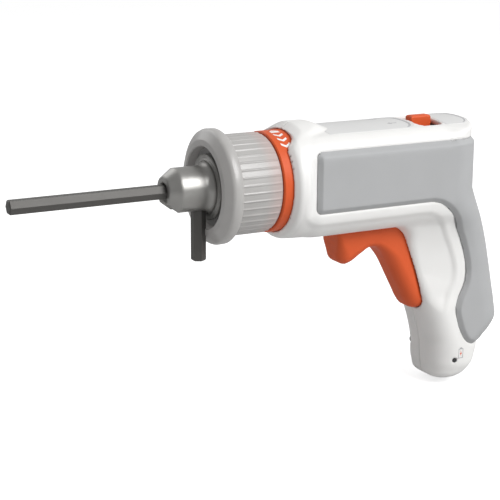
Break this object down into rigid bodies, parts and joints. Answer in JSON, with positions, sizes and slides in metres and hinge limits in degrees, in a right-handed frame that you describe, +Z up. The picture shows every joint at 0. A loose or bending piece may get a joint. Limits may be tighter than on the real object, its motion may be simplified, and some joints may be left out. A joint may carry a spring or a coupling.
{
  "type": "electric screwdriver",
  "caption": "Pistol-shaped cordless screwdriver that clamps and turns an L-shaped hex key, with twist lock collar, rocking trigger and thumb direction slider.",
  "frame": {"origin": "centre of the chuck nose's front face, on the drive axis", "axes": "+X along the drive axis towards the key's tip, +Z up away from the handle, +Y to the tool's left side"},
  "size_m": [0.2519, 0.0532, 0.1356],
  "materials": {
    "white_shell": "satin moulded plastic",
    "soft_grip": "matte moulded soft grip",
    "label_plate": "satin",
    "orange_plastic": "satin moulded plastic",
    "clear_grey": "frosted moulded plastic",
    "dark_steel": "drawn and blackened",
    "bright_steel": "turned and ground",
    "spring_steel": "drawn wire",
    "screw_steel": "zinc plated",
    "bush_brass": "sintered",
    "gear_steel": "sintered",
    "black_plastic": "moulded",
    "magnet": "ground ferrite",
    "copper_winding": "wound and lacquered",
    "board_green": "lacquered board",
    "cell_wrap": "shrink wrapped",
    "lamp_pipe": "moulded light pipe"
  },
  "bodies": {
    "housing": {"left_housing": "white_shell", "right_housing": "white_shell", "left_grip": "soft_grip", "right_grip": "soft_grip", "top_plate": "label_plate", "housing_screws": "screw_steel", "indicator_ring": "orange_plastic", "collar_neck": "black_plastic", "spindle_bush": "bush_brass", "gear_drum": "black_plastic", "gearbox_cover": "black_plastic", "gearbox_screws": "screw_steel", "motor_can": "bright_steel", "motor_magnets": "magnet", "motor_end_cap": "black_plastic", "motor_terminals": "bush_brass", "trigger_pin": "bright_steel", "trigger_spring": "spring_steel", "trigger_switch": "black_plastic", "direction_switch": "black_plastic", "control_board": "board_green", "drive_transistor": "black_plastic", "battery_cell": "cell_wrap", "battery_contacts": "spring_steel", "charge_board": "board_green", "charge_port": "bright_steel", "charge_lamp": "lamp_pipe"},
    "collar": {"lock_collar": "clear_grey", "collar_flange": "clear_grey"},
    "spindle": {"output_spindle": "gear_steel", "output_planet_pins": "bright_steel", "chuck_nose": "bright_steel", "hex_key": "dark_steel", "cross_pin": "bright_steel", "spindle_clip": "spring_steel", "thrust_washer": "bright_steel", "sleeve_spring": "spring_steel"},
    "sleeve": {"clamp_sleeve": "clear_grey"},
    "left_clamp_jaw": {"left_jaw": "gear_steel"},
    "right_clamp_jaw": {"right_jaw": "gear_steel"},
    "carrier": {"first_carrier": "gear_steel", "first_planet_pins": "bright_steel"},
    "rotor": {"motor_shaft": "bright_steel", "motor_pinion": "bush_brass", "motor_rotor": "copper_winding", "motor_commutator": "copper_winding"},
    "trigger_body": {"trigger": "orange_plastic"},
    "plunger": {"switch_plunger": "black_plastic"},
    "slider": {"direction_slider": "orange_plastic"},
    "output_planet_1": {"output_planet_a": "gear_steel"},
    "first_planet_1": {"first_planet_a": "black_plastic"},
    "output_planet_2": {"output_planet_b": "gear_steel"},
    "first_planet_2": {"first_planet_b": "black_plastic"},
    "output_planet_3": {"output_planet_c": "gear_steel"},
    "first_planet_3": {"first_planet_c": "black_plastic"}
  },
  "joints": [
    {"name": "rotor_spin", "type": "hinge", "parent": "housing", "child": "rotor", "pos_m": [-0.1, 0, 0], "axis": [1, 0, 0], "continuous": true},
    {"name": "spindle_spin", "type": "hinge", "parent": "housing", "child": "spindle", "pos_m": [-0.05, 0, 0], "axis": [1, 0, 0], "continuous": true},
    {"name": "carrier_spin", "type": "hinge", "parent": "housing", "child": "carrier", "pos_m": [-0.075, 0, 0], "axis": [1, 0, 0], "continuous": true},
    {"name": "output_planet_1_spin", "type": "hinge", "parent": "spindle", "child": "output_planet_1", "pos_m": [-0.0707, 0.00945, 0], "axis": [1, 0, 0], "continuous": true},
    {"name": "output_planet_2_spin", "type": "hinge", "parent": "spindle", "child": "output_planet_2", "pos_m": [-0.0707, -0.00473, 0.00818], "axis": [1, 0, 0], "continuous": true},
    {"name": "output_planet_3_spin", "type": "hinge", "parent": "spindle", "child": "output_planet_3", "pos_m": [-0.0707, -0.00473, -0.00818], "axis": [1, 0, 0], "continuous": true},
    {"name": "first_planet_1_spin", "type": "hinge", "parent": "carrier", "child": "first_planet_1", "pos_m": [-0.0795, 0.00945, 0], "axis": [1, 0, 0], "continuous": true},
    {"name": "first_planet_2_spin", "type": "hinge", "parent": "carrier", "child": "first_planet_2", "pos_m": [-0.0795, -0.00473, 0.00818], "axis": [1, 0, 0], "continuous": true},
    {"name": "first_planet_3_spin", "type": "hinge", "parent": "carrier", "child": "first_planet_3", "pos_m": [-0.0795, -0.00473, -0.00818], "axis": [1, 0, 0], "continuous": true},
    {"name": "collar_twist", "type": "hinge", "parent": "housing", "child": "collar", "pos_m": [-0.037, 0, 0], "axis": [1, 0, 0], "range_deg": [0, 60]},
    {"name": "sleeve_slide", "type": "slide", "parent": "spindle", "child": "sleeve", "axis": [-1, 0, 0], "range_m": [0, 0.004], "deforming": ["sleeve_spring"]},
    {"name": "left_jaw_slide", "type": "slide", "parent": "spindle", "child": "left_clamp_jaw", "axis": [0, 1, 0], "range_m": [0, 0.0017]},
    {"name": "right_jaw_slide", "type": "slide", "parent": "spindle", "child": "right_clamp_jaw", "axis": [0, -1, 0], "range_m": [0, 0.0017]},
    {"name": "trigger_pull", "type": "hinge", "parent": "housing", "child": "trigger_body", "pos_m": [-0.092, 0, -0.021], "axis": [0, 1, 0], "range_deg": [0, 3.5], "stiffness_Nm_per_rad": 6, "springref_deg": -1.72},
    {"name": "plunger_slide", "type": "slide", "parent": "housing", "child": "plunger", "axis": [-1, 0, 0], "range_m": [0, 0.003]},
    {"name": "direction_slide", "type": "slide", "parent": "housing", "child": "slider", "axis": [0, -1, 0], "range_m": [0, 0.0042]}
  ],
  "couplings": [
    {"joint": "spindle_spin", "follows": "rotor_spin", "ratio": 0.027778},
    {"joint": "carrier_spin", "follows": "rotor_spin", "ratio": 0.16667},
    {"joint": "output_planet_1_spin", "follows": "rotor_spin", "ratio": -0.069444},
    {"joint": "output_planet_2_spin", "follows": "rotor_spin", "ratio": -0.069444},
    {"joint": "output_planet_3_spin", "follows": "rotor_spin", "ratio": -0.069444},
    {"joint": "first_planet_1_spin", "follows": "rotor_spin", "ratio": -0.41667},
    {"joint": "first_planet_2_spin", "follows": "rotor_spin", "ratio": -0.41667},
    {"joint": "first_planet_3_spin", "follows": "rotor_spin", "ratio": -0.41667},
    {"joint": "sleeve_slide", "follows": "collar_twist", "m_per_rad": 0.0038102},
    {"joint": "left_jaw_slide", "follows": "collar_twist", "m_per_rad": 0.0016138},
    {"joint": "right_jaw_slide", "follows": "collar_twist", "m_per_rad": 0.0016138},
    {"joint": "plunger_slide", "follows": "trigger_pull", "m_per_rad": 0.048947}
  ]
}
